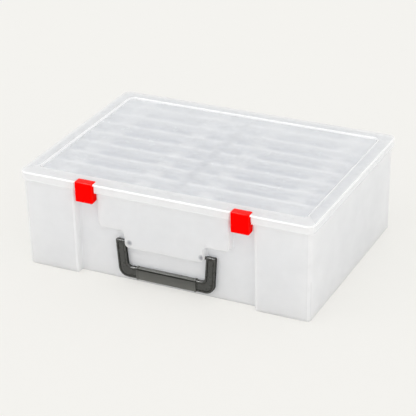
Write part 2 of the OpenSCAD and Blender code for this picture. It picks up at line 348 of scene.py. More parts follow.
def paint(obj, materials, choose):
    """Gives each face one of the materials: choose(centre in millimetres, normal) returns its number."""
    for material in materials:
        obj.data.materials.append(material)
    for face in obj.data.polygons:
        face.material_index = choose(face.center / MM, face.normal)


def shade(obj):
    """Smooth shading with crisp edges where faces meet at more than SHARP_DEG."""
    obj.data.shade_smooth()
    obj.data.set_sharp_from_angle(angle=math.radians(SHARP_DEG))


def dress(obj, body, nodes):
    """Shades a painted piece and ties it to a CAD body."""
    shade(obj)
    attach(obj, body)
    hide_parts(*nodes)


# ---- materials: noise scales are per metre, grain depths in metres ----

PIN_SHADOW = (0.40, 0.40, 0.43)
PIN_SHADOW_X = 47.2
PIN_SHADOW_SHIFT = 2.2
PIN_SHADOW_RISE = 2.8
PIN_SHADOW_R = 1.4
PIN_SHADOW_REACH = 4.4
COARSE_GRAIN = 0.00006
FINE_GRAIN = 0.00002
RING_GRAIN = 0.00001


class Graph:
    """Short way to write a material's nodes."""

    def __init__(self, name):
        self.material = bpy.data.materials.new(name)
        self.material.use_nodes = True
        self.tree = self.material.node_tree
        self.tree.nodes.clear()
        self.place = self.add("ShaderNodeTexCoord").outputs["Object"]

    def add(self, kind, values=None, **settings):
        """A node whose inputs are set to values, or linked where the value is a socket."""
        node = self.tree.nodes.new(kind)
        for key, value in settings.items():
            setattr(node, key, value)
        for key, value in (values or {}).items():
            if isinstance(value, bpy.types.NodeSocket):
                self.tree.links.new(value, node.inputs[key])
            else:
                node.inputs[key].default_value = value
        return node

    def noise(self, scale, detail=2.0, roughness=0.5, stretch=(1, 1, 1)):
        """Noise in metres of the piece's own frame, 0 to 1. Stretch makes it longer along an axis."""
        where = self.add("ShaderNodeMapping", {"Vector": self.place, "Scale": [1 / s for s in stretch]})
        values = {"Vector": where.outputs[0], "Scale": scale, "Detail": detail, "Roughness": roughness}
        return self.add("ShaderNodeTexNoise", values).outputs["Fac"]

    def spread(self, value, low, high, start=0.3, end=0.7):
        """Maps a value between start and end, as a rule a noise, to low and high."""
        values = {"Value": value, "From Min": start, "From Max": end, "To Min": low, "To Max": high}
        return self.add("ShaderNodeMapRange", values).outputs["Result"]

    def colours(self, factor, first, second):
        """Mix of two colours, each of which may be a socket."""
        ends = [c if isinstance(c, bpy.types.NodeSocket) else (*c, 1) for c in (first, second)]
        return self.add("ShaderNodeMix", {0: factor, 6: ends[0], 7: ends[1]}, data_type="RGBA").outputs[2]

    def math(self, operation, first, second=0.0):
        return self.add("ShaderNodeMath", {0: first, 1: second}, operation=operation).outputs[0]

    def bump(self, height, depth):
        values = {"Height": height, "Distance": depth, "Strength": 1.0}
        return self.add("ShaderNodeBump", values).outputs["Normal"]

    def finish(self, shader):
        self.add("ShaderNodeOutputMaterial", {"Surface": shader})
        return self.material


def pin_shadow(g):
    """Shadow of the handle pins, which lie close behind the frosted front of the boss, 0 to 1."""
    place = g.add("ShaderNodeSeparateXYZ", {"Vector": g.place}).outputs
    beside = g.math("ABSOLUTE", g.math("SUBTRACT", place["X"], PIN_SHADOW_SHIFT * MM))
    across = g.math("SUBTRACT", beside, PIN_SHADOW_X * MM)
    up = g.math("SUBTRACT", place["Z"], (HANDLE_PIVOT.z + PIN_SHADOW_RISE) * MM)
    squares = g.math("ADD", g.math("MULTIPLY", across, across), g.math("MULTIPLY", up, up))
    near = g.spread(g.math("SQRT", squares), 1, 0, PIN_SHADOW_R * MM, PIN_SHADOW_REACH * MM)
    front = g.spread(place["Y"], 1, 0, (BODY_LOW.y + 2.0) * MM, (BODY_LOW.y + 2.6) * MM)
    return g.math("MULTIPLY", near, front)


def milky_plastic(name, light, dark, opacity, glow, roughness, shadow=None):
    """Translucent moulded plastic: part of the view passes, and part of the light glows through."""
    g = Graph(name)
    flow = g.noise(9.0, 3.0, 0.55)
    colour = g.colours(g.spread(flow, 0, 1), light, dark)
    if shadow:
        colour = g.colours(shadow(g), colour, PIN_SHADOW)
    fine = g.noise(900.0, 2.0, 0.6)
    rough = g.spread(g.noise(60.0, 4.0, 0.6), roughness - 0.05, roughness + 0.07)
    skin_values = {
        "Base Color": colour,
        "Roughness": rough,
        "IOR": 1.49,
        "Normal": g.bump(fine, COARSE_GRAIN),
    }
    skin = g.add("ShaderNodeBsdfPrincipled", skin_values).outputs[0]
    through = g.add("ShaderNodeBsdfTranslucent", {"Color": colour}).outputs[0]
    plastic = g.add("ShaderNodeMixShader", {0: glow, 1: skin, 2: through}).outputs[0]
    clear = g.add("ShaderNodeBsdfTransparent", {"Color": (0.992, 0.995, 1, 1)}).outputs[0]
    cover = g.spread(g.noise(22.0, 3.0, 0.6), opacity - 0.03, opacity + 0.03)
    return g.finish(g.add("ShaderNodeMixShader", {0: cover, 1: clear, 2: plastic}).outputs[0])


def glossy_plastic(name, light, dark, roughness, level=0.5, grain=1400.0, grain_depth=FINE_GRAIN,
                   shade_by_height=None):
    """Solid moulded plastic with a fine grain.

    A shade given as (low, high, colour) is painted: the plastic darkens into that colour between two
    heights.
    """
    g = Graph(name)
    colour = g.colours(g.spread(g.noise(30.0, 4.0, 0.6), 0, 1), light, dark)
    if shade_by_height:
        low_z, high_z, upper = shade_by_height
        height = g.add("ShaderNodeSeparateXYZ", {"Vector": g.place}).outputs["Z"]
        colour = g.colours(g.spread(height, 0, 1, low_z * MM, high_z * MM), colour, upper)
    rough = g.spread(g.noise(80.0, 4.0, 0.65), roughness - 0.05, roughness + 0.08)
    skin_values = {
        "Base Color": colour,
        "Roughness": rough,
        "IOR": 1.5,
        "Specular IOR Level": level,
        "Normal": g.bump(g.noise(grain, 3.0, 0.6), grain_depth),
    }
    return g.finish(g.add("ShaderNodeBsdfPrincipled", skin_values).outputs[0])


def steel(name):
    """Ground steel pin: fine rings around the axis."""
    g = Graph(name)
    rings = g.noise(2600.0, 2.0, 0.5, (0.12, 3, 3))
    skin_values = {
        "Base Color": g.colours(rings, (0.52, 0.52, 0.54), (0.66, 0.66, 0.68)),
        "Metallic": 1.0,
        "Roughness": g.spread(rings, 0.24, 0.4),
        "Normal": g.bump(rings, RING_GRAIN),
    }
    return g.finish(g.add("ShaderNodeBsdfPrincipled", skin_values).outputs[0])


# Name, lightest and darkest colour; then opacity, glow and roughness for the milky plastics, and
# roughness for the glossy ones
FROSTED = milky_plastic("frosted_body", (0.976, 0.976, 0.977), (0.968, 0.968, 0.970), 0.78, 0.45, 0.34,
                        pin_shadow)
FROSTED_LID = milky_plastic("frosted_lid", (0.985, 0.987, 0.99), (0.965, 0.97, 0.976), 0.48, 0.45, 0.28)
LID_PANEL = milky_plastic("lid_panel", (0.99, 0.991, 0.994), (0.978, 0.981, 0.986), 0.38, 0.34, 0.22)
LID_FRONT = milky_plastic("lid_front", (0.99, 0.99, 0.99), (0.98, 0.98, 0.982), 0.66, 0.45, 0.28)
# Painted highlight: a whiter, more opaque frost along the body's steps, corners and recess edges
FROSTED_EDGE_HIGHLIGHT = milky_plastic("frosted_painted_highlight", (0.986, 0.986, 0.986), (0.980, 0.980, 0.981), 0.85, 0.41, 0.3)
# Painted light: a brighter, less glowing frost that lifts the shade of the recess floor and lightens the
# end walls
FROSTED_PAINTED_LIGHT = milky_plastic("frosted_painted_light", (0.991, 0.991, 0.991), (0.986, 0.986, 0.986), 0.84, 0.37, 0.34)
# Painted highlight: a whiter, nearly opaque frost along the lid's outer edge and the line round its window
LID_HIGHLIGHT = milky_plastic("lid_painted_highlight", (0.995, 0.995, 0.995), (0.985, 0.985, 0.987), 0.92, 0.2, 0.24)
CASE_CLEAR = milky_plastic("case_clear", (0.98, 0.983, 0.988), (0.965, 0.97, 0.978), 0.14, 0.45, 0.12)
CASE_EDGE = milky_plastic("case_edge", (0.985, 0.987, 0.99), (0.975, 0.978, 0.982), 0.64, 0.45, 0.16)
# Painted highlight: a whiter, nearly opaque frost on the bead round each case's mouth
CASE_BEAD_HIGHLIGHT = milky_plastic("case_bead_highlight", (0.995, 0.995, 0.995), (0.985, 0.985, 0.987), 0.92, 0.2, 0.16)
# Painted highlight: a more orange, glossier red on the latch's top and rounded edges
RED_HIGHLIGHT = glossy_plastic("latch_red_highlight", (1.0, 0.004, 0.001), (0.95, 0.003, 0.001), 0.26, level=0.08)
RED = glossy_plastic("latch_red", (1.0, 0.0010, 0.0003), (0.95, 0.0008, 0.0002), 0.30, level=0.012)
GREY = glossy_plastic("handle_grey", (0.050, 0.051, 0.046), (0.040, 0.041, 0.037), 0.28)
# Painted shade: a near-black copy of the handle grey for its sides, ends and grooves
GREY_SHADE = glossy_plastic("handle_painted_shade", (0.014, 0.014, 0.012), (0.010, 0.010, 0.009), 0.5, level=0.1)
# Painted shade: the grip darkens towards its top
GRIP_GREY = glossy_plastic("grip_grey", (0.125, 0.126, 0.115), (0.108, 0.109, 0.099), 0.34,
                           grain=700.0, grain_depth=COARSE_GRAIN,
                           shade_by_height=(GRIP_LOW.z + 2.0, GRIP_HIGH.z - 4.0, (0.062, 0.063, 0.056)))
# Painted light: a lighter copy of the grip grey for the grip's top face
GRIP_LIT_TOP = glossy_plastic("grip_painted_light", (0.150, 0.151, 0.138), (0.125, 0.126, 0.115), 0.34,
                          grain=700.0, grain_depth=COARSE_GRAIN)
STEEL = steel("pin_steel")


# ---- body: a thin tub whose front is pressed in around a raised T ----

# Lines of the front's steps: (place, +1 where the recess grows upwards or outwards, -1 where inwards)
STEPS_X = [(BOSS_HALF_W, -1), (WING_HALF_W, -1), (RECESS_HALF_W, 1)]
STEPS_Z = [(BOSS_Z, 1), (WING_Z, 1), (SKIRT_Z, 1)]
# Rows of points: reach on both sides of a step, spacing there, widest spacing elsewhere, and least spacing
ZONE = 6.0
FINE = 0.6
COARSE = 6.0
CLOSEST = 0.15


def step_profile(depth, run, edge_r, foot_r, steps=5):
    """(distance, share of the depth) points down a step with a rounded edge and a rounded foot."""
    slope = math.atan2(depth, run)
    turns = [slope * k / steps for k in range(steps + 1)]
    edge_reach, foot_reach = edge_r * math.tan(slope / 2), foot_r * math.tan(slope / 2)
    edge = [(edge_r * math.sin(t) - edge_reach, edge_r * (1 - math.cos(t))) for t in turns]
    foot = [(run + foot_reach - foot_r * math.sin(t), depth - foot_r * (1 - math.cos(t))) for t in turns]
    return [(s, d / depth) for s, d in edge + foot[::-1]]


STEP = step_profile(RECESS_DEPTH, STEP_RUN, STEP_EDGE_R, STEP_FOOT_R)


def between(points, value):
    """Straight-line interpolation in sorted (value, result) points, level beyond both ends."""
    if value <= points[0][0]:
        return points[0][1]
    for (a, fa), (b, fb) in zip(points, points[1:]):
        if value <= b:
            return fa + (fb - fa) * (value - a) / (b - a)
    return points[-1][1]


def smooth_min(a, b, width):
    """The lower of two distances, with the corner between them rounded."""
    near = max(width - abs(a - b), 0) / width
    return min(a, b) - near * near * width / 4


def below_panel(x, z, half_w, low_z):
    """Distance out of a raised panel with round lower corners, which runs up to the rim."""
    qx, qz = x - half_w + PANEL_R, low_z - z + PANEL_R
    return math.hypot(max(qx, 0), max(qz, 0)) + min(max(qx, qz), 0) - PANEL_R


def into_recess(x, z):
    """Distance into the front recess, below zero outside it."""
    wing = below_panel(abs(x), z, WING_HALF_W, WING_Z)
    boss = below_panel(abs(x), z, BOSS_HALF_W, BOSS_Z)
    tee = smooth_min(wing, boss, TEE_BLEND)
    edge = smooth_min(RECESS_HALF_W - abs(x), SKIRT_Z - z, RECESS_BLEND)
    return smooth_min(edge, tee, MEETING_BLEND)


def shifted(value, steps, grown, end):
    """Moves a station along with the steps near it, so that the rows stay on a step as it grows."""
    knots = [(0.0, 0.0)]
    for line, sign in steps:
        knots += [(line - ZONE, sign * grown), (min(line + ZONE, end), sign * grown)]
    knots.append((end + 0.01, 0.0))
    return value + between(knots, value)


def stations(steps, marks, start, end):
    """Sorted places from start to end: close together near the steps, and exact on their profile."""
    wanted = {start, end}
    for line, sign in marks:
        wanted.update(line + sign * s for s, _ in STEP)
    for line, _ in steps:
        count = round(2 * ZONE / FINE)
        wanted.update(line - ZONE + 2 * ZONE * k / count for k in range(count + 1))
    places = [start]
    for value in sorted(v for v in wanted if start < v <= end):
        gap = value - places[-1]
        if gap < CLOSEST and value < end:
            continue
        parts = math.ceil(gap / COARSE)
        places += [places[-1] + gap * k / parts for k in range(1, parts + 1)]
    return places


FRONT_X = stations(STEPS_X, [(BOSS_HALF_W, 1), (WING_HALF_W, 1), (RECESS_HALF_W, -1)], 0.0,
                   BODY_HALF_W - CORNER_R)
BODY_Z = stations(STEPS_Z, [(line, -1) for line, _ in STEPS_Z], FOOT_R, RIM_Z - RIM_R)


def body_row(grown, z):
    """One closed row of points round the body, anticlockwise from above, set in by a distance."""
    lean = DRAFT * (1 - min(max(z / RIM_Z, 0), 1))
    r = max(CORNER_R - grown, 1.0)
    half_w, half_d = BODY_HALF_W - grown - lean, BODY_HALF_D - grown - lean
    flat_w, flat_d = half_w - r, half_d - r
    row = []
    for side, xs in ((-1, reversed(FRONT_X[1:])), (1, FRONT_X)):
        for x in xs:
            near = min(shifted(x, STEPS_X, grown, FRONT_X[-1]), flat_w)
            depth = (RECESS_DEPTH - lean) * between(STEP, into_recess(near, z) + grown)
            row.append((side * near, -half_d + depth, z))
    corners = [(flat_w, -flat_d, -90), (flat_w, flat_d, 0), (-flat_w, flat_d, 90), (-flat_w, -flat_d, 180)]
    for i, (cx, cy, start) in enumerate(corners):
        # The front row already has the first point of the first corner and the last of the last.
        first, last = (1 if i == 0 else 0), (CORNER_STEPS - 1 if i == 3 else CORNER_STEPS)
        for k in range(first, last + 1):
            t = math.radians(start + 90 * k / CORNER_STEPS)
            row.append((cx + r * math.cos(t), cy + r * math.sin(t), z))
    return row


def body_shape():
    """Outside from the foot up, over the rim, and down the inside to the floor."""
    rows = [(FOOT_R + 1.5, 0.0)] + arc_steps(FOOT_R)
    rows += [(0.0, z) for z in BODY_Z[1:]]
    rows += [(RIM_CUT, RIM_Z - RIM_CUT), (RIM_R, RIM_Z)]
    rows += [(WALL - RIM_R, RIM_Z), (WALL - RIM_CUT, RIM_Z - RIM_CUT)]
    inner = [shifted(z, STEPS_Z, WALL, RIM_Z - RIM_R) for z in BODY_Z if z > FOOT_R + FLOOR_T]
    rows += [(WALL, z) for z in reversed(inner)]
    rows += [(WALL + i, FLOOR_T + b) for i, b in reversed(arc_steps(2.0))]
    rows.append((WALL + 3.5, FLOOR_T))
    return loft([body_row(grown, z) for grown, z in rows])


def moved(shape, dx=0, dy=0, dz=0):
    """A shape at another place."""
    verts, faces = shape
    return [(x + dx, y + dy, z + dz) for x, y, z in verts], faces


def block(low, high, r=0.0, edge_r=0.0):
    """Block between two corners, with its upright corners and its ends rounded."""
    return prism(rectangle(low[:2], high[:2]), r, "z", low[2], high[2], edge_r)


def build_body():
    """Tub with its latch pockets, lugs, hinge ears and bores."""
    body = make_object("body_shell", body_shape())
    joined, cut = [], []
    for side in (-1, 1):
        x, y, z = side * LATCH_PIVOT.x, LATCH_PIVOT.y, LATCH_PIVOT.z
        joined.append(block((x - POCKET_HALF_W - WALL, -BODY_HALF_D + 0.4, SKIRT_Z + 0.3),
                            (x + POCKET_HALF_W + WALL, POCKET_Y + WALL, RIM_Z - 0.3), 1.0))
        cut.append(block((x - POCKET_HALF_W, -BODY_HALF_D - 3, SKIRT_Z + 0.02),
                         (x + POCKET_HALF_W, POCKET_Y, RIM_Z + 3)))
        joined.append(moved(lug_shape(), x, y, z))
        cut.append(bar_x(LATCH_PIN_D + BORE_GAP, x - LUG_BORE_REACH, x + LUG_BORE_REACH, y, z))
        hinge_x, boss_x = side * HINGE_X, side * BOSS_HALF_W
        for ear in (-1, 1):
            joined.append(moved(ear_shape(), hinge_x + ear * ((KNUCKLE_W + EAR_W) / 2 + LATCH_GAP)))
        cut.append(bar_x(HINGE_PIN_D + PRESS_GAP, hinge_x - HINGE_BORE_REACH, hinge_x + HINGE_BORE_REACH,
                         HINGE.y, HINGE.z))
        cut.append(bar_x(HANDLE_PIN_D + BORE_GAP, boss_x - PANEL_R, boss_x + PANEL_R,
                         HANDLE_PIVOT.y, HANDLE_PIVOT.z))
    combine(body, joined, "UNION")
    combine(body, cut, "DIFFERENCE")
    paint(body, (FROSTED, FROSTED_EDGE_HIGHLIGHT, FROSTED_PAINTED_LIGHT), body_material)
    dress(body, "root", ["body"])


def body_material(c, n):
    """2 on the recess floor and the end walls, a brighter frost painted to lift their shade; 1 along steps
    and corners, a painted highlight; 0 elsewhere.
    """
    turning = SIDEWAYS[0] < abs(n.x) < SIDEWAYS[1]
    if abs(c.y - RECESS_Y) < ON_FACE and abs(c.x) < RECESS_HALF_W and n.y < -FLAT:
        return 2
    if abs(c.x) > BODY_HALF_W - DRAFT - 0.2 and abs(n.x) > SIDEWAYS[1]:
        return 2
    outside = FOOT_R < c.z < SKIRT_Z and (c.y < RECESS_Y - ON_FACE or turning)
    step = abs(c.x) < BODY_HALF_W - CORNER_R and n.y > -FLAT
    strip = 0 < abs(c.x) - RECESS_HALF_W < HIGHLIGHT_STRIP
    corner = abs(c.x) > BODY_HALF_W - CORNER_R and turning
    return 1 if outside and (step or strip or corner) else 0


def arc(radius, first, last, centre=(0, 0)):
    """Points on a circle from one angle to another, every 15 degrees."""
    turns = [math.radians(a) for a in range(first, last + 1, 15)]
    return [(centre[0] + radius * math.cos(t), centre[1] + radius * math.sin(t)) for t in turns]


def lug_shape():
    """Body lug of a latch: a round eye that runs back into the recess floor."""
    r, back = LUG_D / 2, RECESS_Y + 1 - LATCH_PIVOT.y
    side = [(back, r), (0, r)] + arc(r, 105, 255) + [(0, -r), (back, -r)]
    return prism(side, 0, "x", -LUG_HALF_W, LUG_HALF_W, EYE_EDGE_R)


def ear_shape():
    """Body ear of a hinge: a round eye on a toe that runs down the back wall."""
    r = HINGE_D / 2
    top, back = SKIRT_Z - LATCH_GAP, BODY_HALF_D - 1
    eye = arc(r, -45, 180, (HINGE.y, HINGE.z))
    side = [(back, top - EAR_H)] + eye + [(HINGE.y - r, top), (back, top)]
    return prism(side, 0, "x", -EAR_W / 2, EAR_W / 2, EYE_EDGE_R)


# ---- lid ----

def lid_shape():
    """From the panel's underside out over the skirt, and back over the border to the panel's top."""
    outer = rectangle((-LID_HALF_W, -LID_HALF_D), (LID_HALF_W, LID_HALF_D))
    window = rectangle((-LID_HALF_W + BORDER_W, -LID_HALF_D + BORDER_FRONT_W),
                       (LID_HALF_W - BORDER_W, LID_HALF_D - BORDER_W))
    lid_r = CORNER_R + LID_OVERHANG
    under_z = PANEL_Z - LID_T
    loops = []

    def ring(corners, radius, inset, z):
        loops.append([(p.x, p.y, z) for p in outline(corners, radius, inset, 10)])

    ring(window, WINDOW_R, 2.0 - LID_T, under_z)
    for inset, back in arc_steps(WINDOW_EDGE_R, 3):
        ring(window, WINDOW_R, inset - LID_T, under_z + back)
    for inset, back in reversed(arc_steps(UNDER_EDGE_R, 3)):
        ring(window, WINDOW_R, -inset - LID_T, RIM_Z - back)
    for inset, back in arc_steps(SKIRT_ROOT_R, 3):
        ring(outer, lid_r, SKIRT_T + inset, RIM_Z - back)
    skirt = [(SKIRT_T, SKIRT_FOOT_R), (SKIRT_T - SKIRT_FOOT_R, 0.0), (SKIRT_FOOT_R, 0.0), (0.1, 0.1),
             (0.0, SKIRT_FOOT_R), (0.0, SKIRT_LIP_H), (0.1, SKIRT_LIP_H + 0.5)]
    for inset, height in skirt:
        ring(outer, lid_r, inset, SKIRT_Z + height)
    ring(outer, lid_r, LID_BEAD_T, LID_Z - LID_BEAD_H - 0.3)
    ring(outer, lid_r, 0.0, LID_Z - LID_BEAD_H)
    for inset, back in reversed(arc_steps(LID_EDGE_R, 5)):
        ring(outer, lid_r, inset, LID_Z - back)
    ring(window, WINDOW_R, -WINDOW_STEP_W - WINDOW_EDGE_R - WINDOW_LINE_W, LID_Z)
    for inset, back in arc_steps(WINDOW_EDGE_R, 4):
        ring(window, WINDOW_R, -WINDOW_STEP_W - inset, LID_Z - back)
    for inset, back in reversed(arc_steps(WINDOW_EDGE_R, 4)):
        ring(window, WINDOW_R, inset, PANEL_Z + back)
    ring(window, WINDOW_R, 2.5, PANEL_Z)
    return loft(loops)


def lid_material(c, n):
    """2 on the edges, a whiter frost as a painted highlight; 1 on the panel, 3 on the front border, 0
    elsewhere.
    """
    front = -LID_HALF_D + BORDER_FRONT_W
    out = max(abs(c.x) - LID_HALF_W + BORDER_W, c.y - LID_HALF_D + BORDER_W, front - c.y)
    beside_window = WINDOW_STEP_W + WINDOW_EDGE_R
    outer_edge = c.z > LID_Z - LID_BEAD_H and abs(n.z) < NEARLY_FLAT
    window_line = c.z > LID_Z - 0.1 and beside_window < out < beside_window + WINDOW_LINE_W
    window_front = c.y < front + 1 and abs(out) < 3
    if (outer_edge or window_line) and not window_front:
        return 2
    if out < 1 and (window_front or c.z < PANEL_Z + 0.01):
        return 1
    return 3 if c.y < front else 0


def build_lid():
    """Lid with a slot under each latch, and the knuckles of its hinges."""
    lid = make_object("lid_shell", lid_shape())
    joined, cut = [], []
    for side in (-1, 1):
        x = side * LATCH_PIVOT.x
        cut.append(block((x - LATCH_HALF_W - LATCH_GAP, -LID_HALF_D - 4, SKIRT_Z - 3),
                         (x + LATCH_HALF_W + LATCH_GAP, LATCH_LOW.y + RETURN_REACH + LATCH_GAP, LID_Z + 3)))
        cut.append(block((x - POCKET_HALF_W, -LID_HALF_D - 4, SKIRT_Z - 3),
                         (x + POCKET_HALF_W, -LID_HALF_D + SKIRT_T + LATCH_GAP, RIM_Z)))
        x0, x1 = side * HINGE_X - KNUCKLE_W / 2, side * HINGE_X + KNUCKLE_W / 2
        joined.append(bar_x(HINGE_D, x0, x1, HINGE.y, HINGE.z, EYE_EDGE_R))
        joined.append(block((x0, LID_HALF_D - 1.2, HINGE.z), (x1, HINGE.y, HINGE.z + HINGE_D / 2 - 0.01)))
        cut.append(bar_x(HINGE_PIN_D + BORE_GAP, x0 - 1, x1 + 1, HINGE.y, HINGE.z))
    combine(lid, joined, "UNION")
    combine(lid, cut, "DIFFERENCE")
    paint(lid, (FROSTED_LID, LID_PANEL, LID_HIGHLIGHT, LID_FRONT), lid_material)
    dress(lid, "lid", ["lid"])


# ---- latches ----

def build_latch(name, side):
    """Latch in its pivot's frame: one C-shaped side view, slotted so that it straddles the lug."""
    low, high = LATCH_LOW - LATCH_PIVOT, LATCH_HIGH - LATCH_PIVOT
    w, front, top, bottom = LATCH_HALF_W, low.y, high.z, low.z
    back, inner, reach, under = -front, front + PLATE_T, front + RETURN_REACH, top - RETURN_T
    side_view = [(front, bottom), (0.8, bottom), (back, bottom + 2.0), (back, back), (inner, back),
                 (inner, under), (reach, under), (reach, top), (front, top)]
    side_radii = [1.4, 1.5, 1.8, 4.6, 1.2, 1.8, 0.7, 1.1, 2.0]
    shape = make_object(f"{name}_body", prism(side_view, side_radii, "x", -w, w, 0.9))
    face = rectangle((-w, bottom), (w, top))
    combine(shape, [prism(face, [2.4, 2.4, 1.6, 1.6], "y", front - 2, reach + 2)], "INTERSECT")
    slot_w = LUG_HALF_W + LATCH_GAP
    room = LUG_D / 2 + LATCH_GAP
    cuts = [
        bar_x(2 * room, -slot_w, slot_w, 0, 0),
        block((-slot_w, -room, bottom - 3), (slot_w, 2 * back, 0)),
        block((-slot_w, 0, -1), (slot_w, 2 * back, room)),
        bar_x(LATCH_PIN_D + PRESS_GAP, -w + CHEEK_T / 2, w - CHEEK_T / 2, 0, 0),
    ]
    combine(shape, cuts, "DIFFERENCE")
    paint(shape, (RED, RED_HIGHLIGHT), latch_material)
    shape.location = Vector((side * LATCH_PIVOT.x, LATCH_PIVOT.y, LATCH_PIVOT.z)) * MM
    dress(shape, name, [name])


def latch_material(c, n):
    """1 on the top and the rounded edges, a more orange, glossier red as a painted highlight; 0 on the flat
    faces.
    """
    return 1 if n.z > FLAT or max(abs(n.x), abs(n.y), abs(n.z)) < NEARLY_FLAT else 0


# ---- handle ----

def build_bail():
    """U-shaped bail with a rounded rim, a groove round its sunk face, and a pin at the top of each arm."""
    top, low = BAIL_HIGH.z, BAIL_LOW.z
    bar_top = low + BAR_H
    corners = [(-BAIL_FOOT_X, low), (BAIL_FOOT_X, low), (BAIL_TOP_X, top), (BAIL_IN_TOP_X, top),
               (BAIL_IN_FOOT_X, bar_top), (-BAIL_IN_FOOT_X, bar_top), (-BAIL_IN_TOP_X, top),
               (-BAIL_TOP_X, top)]
    radii = [12, 12, 1.5, 1.0, 5, 5, 1.0, 1.5]
    face_radii = [12, 12, 6.1, 6.1, 5, 5, 6.1, 6.1]
    front, back = BAIL_LOW.y, BAIL_HIGH.y
    loops = []

    def ring(inset, y, rounded=radii):
        loops.append([(p.x, y, p.y) for p in outline(corners, rounded, inset, 10)])

    ring(2.2, back)
    for inset, step in arc_steps(1.0, 4):
        ring(inset, back - step)
    for inset, step in reversed(arc_steps(1.3, 5)):
        ring(inset, front + step)
    for inset, step in BAIL_GROOVE:
        ring(inset, front + step, face_radii)
    bail = make_object("handle_bail_body", loft(loops))
    pins = []
    for side in (-1, 1):
        ends = sorted((side * BAIL_PIN_IN_X, side * (BAIL_IN_TOP_X + 2.0)))
        pins.append(bar_x(HANDLE_PIN_D, ends[0], ends[1], HANDLE_PIVOT.y, HANDLE_PIVOT.z, 0.6))
    combine(bail, pins, "UNION")
    paint(bail, (GREY, GREY_SHADE), bail_material)
    dress(bail, "handle", ["handle_bail"])


def bail_material(c, n):
    """1 on the sides of the arms and the floor of the groove, painted near-black as shade; 0 elsewhere."""
    sunk = c.y - BAIL_LOW.y
    side = abs(n.x) > FLAT and sunk > 1.0
    groove = abs(n.y) > FLAT and abs(sunk - GROOVE_DEEP) < 0.05
    return 1 if side or groove else 0


def build_grip():
    """Sleeve round the cross bar, with a bead at each end and a groove below its front top edge."""
    half_w = GRIP_HIGH.x
    front, top = GRIP_LOW.y, GRIP_HIGH.z
    hollow = rectangle((BAIL_LOW.y, BAIL_LOW.z), (BAIL_HIGH.y, BAIL_LOW.z + BAR_H))
    section = rectangle((front, GRIP_LOW.z), (GRIP_HIGH.y, top))
    section += [(front + deep, top - down) for deep, down in GRIP_GROOVE]
    hollow += [(BAIL_LOW.y, z) for _, z in section[4:]]
    radii = [1.6, 1.0, 1.0, 0.9, 0, 0, 0, 0]
    profile = [(inset, half_w - x) for inset, x in GRIP_END]
    loops = [(inset, -x) for inset, x in profile] + profile[::-1]
    rings = [[(x, p.x, p.y) for p in outline(section, radii, inset, 6)] for inset, x in loops]
    for x in (half_w, -half_w):
        rings.append([(x, p.x, p.y) for p in outline(hollow, [0.5] * 4 + [0] * 4, 0.0, 6)])
    grip = make_object("handle_grip_sleeve", loft(rings, wrap=True))
    paint(grip, (GRIP_GREY, GREY_SHADE, GRIP_LIT_TOP), grip_material)
    dress(grip, "handle", ["handle_grip"])


def grip_material(c, n):
    """1 on the ends and in the groove, painted near-black as shade; 2 on the top, a lighter grey as painted
    light; 0 elsewhere.
    """
    down = GRIP_HIGH.z - c.z
    if abs(n.x) > 0.5 or (2.1 < down < 3.3 and c.y < GRIP_LOW.y + 1.1):
        return 1
    return 2 if n.z > 0.5 and down < 1.5 else 0


# ---- inner cases: one tray and one cover, each shared by sixteen pieces ----

def case_half(thickness, sign):
    """Open half of a case, with its mouth at y = 0, a bead round the mouth and soft outer edges."""
    corners = rectangle((-CASE_HALF_W, 0), (CASE_HALF_W, CASE_H))
    deep = thickness - CASE_WALL
    profile = [(CASE_WALL + 4.0, deep)]
    profile += [(CASE_WALL + i, deep - b) for i, b in arc_steps(1.2, 3)]
    profile += [(CASE_WALL, 0.0), (0.0, 0.0), (0.0, RIM_BEAD_W - 0.2), (0.12, RIM_BEAD_W),
                (RIM_BEAD_T, RIM_BEAD_W + 0.3)]
    profile += [(RIM_BEAD_T + i, thickness - b) for i, b in reversed(arc_steps(CASE_EDGE_R, 4))]
    profile.append((RIM_BEAD_T + CASE_EDGE_R + 1.5, thickness))
    return loft([[(p.x, sign * y, p.y) for p in outline(corners, CASE_CORNER_R, inset, 6)]
                 for inset, y in profile])


def case_meshes():
    """Tray and cover. The wells in the top edge lie in the tray, and the cover closes their mouths."""
    tray = make_object("tray_shape", case_half(TRAY_T, 1))
    cover = make_object("cover_shape", case_half(COVER_T, -1))
    floor = CASE_H - WELL_DEPTH
    shelves, wells, gates = [], [], []
    for x, length in WELLS:
        x0, x1 = x - length / 2, x + length / 2
        shelves.append(block((x0 - CASE_WALL, 0.02, floor - CASE_WALL),
                             (x1 + CASE_WALL, WELL_REACH + CASE_WALL, CASE_H - CASE_TOP_T)))
        wells.append(block((x0, -6, floor), (x1, WELL_REACH, CASE_H + 4), 1.5, 0.8))
        gates.append(block((x0 - CASE_WALL, -CASE_WALL, floor - CASE_WALL),
                           (x1 + CASE_WALL, -0.02, CASE_H - CASE_TOP_T)))
    combine(tray, shelves, "UNION")
    combine(tray, wells, "DIFFERENCE")
    combine(cover, gates, "UNION")
    for piece in (tray, cover):
        paint(piece, (CASE_CLEAR, CASE_EDGE, CASE_BEAD_HIGHLIGHT), case_material)
        shade(piece)
    return tray, cover


def case_material(c, n):
    """2 on the bead at the mouth, a whiter frost as a painted highlight; 1 on the rest of the top edge and
    on the ends, 0 elsewhere.
    """
    if abs(c.y) < RIM_BEAD_W + 0.3 and c.z > CASE_H - CASE_TOP_T:
        return 2
    top = c.z > CASE_H - CASE_WALL and abs(n.z) > 0.3
    end = abs(n.x) > 0.7 and abs(c.x) > CASE_HALF_W - CASE_WALL
    return 1 if top or end else 0


